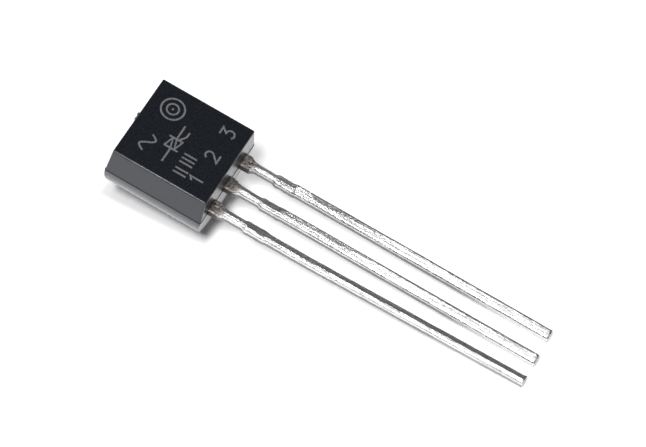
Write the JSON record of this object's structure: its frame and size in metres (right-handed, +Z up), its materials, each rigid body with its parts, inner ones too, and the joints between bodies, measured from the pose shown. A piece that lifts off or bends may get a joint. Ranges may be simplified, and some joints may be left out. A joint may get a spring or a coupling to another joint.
{
  "type": "triac",
  "caption": "Small through-hole triac: a black D-shaped moulded case with a flat marked side, and tinned leads in a row from one end.",
  "frame": {"origin": "on the table under the middle of the whole part's box, with the part lying as it comes to rest", "axes": "+X level, from the case towards the lead tips; +Y across the leads, from lead 1 to lead 3; +Z up, out of the flat side"},
  "size_m": [0.0186, 0.0044, 0.0041],
  "materials": {
    "epoxy": "satin",
    "tinned_lead": "satin",
    "solder": "satin",
    "silicon": "polished",
    "bond_wire": "satin"
  },
  "bodies": {
    "root": {"moulded_case": "epoxy", "mt1_lead": "tinned_lead", "gate_lead": "tinned_lead", "mt2_lead": "tinned_lead", "die_solder": "solder", "triac_chip": "silicon", "mt1_wire": "bond_wire", "gate_wire": "bond_wire"}
  },
  "joints": []
}
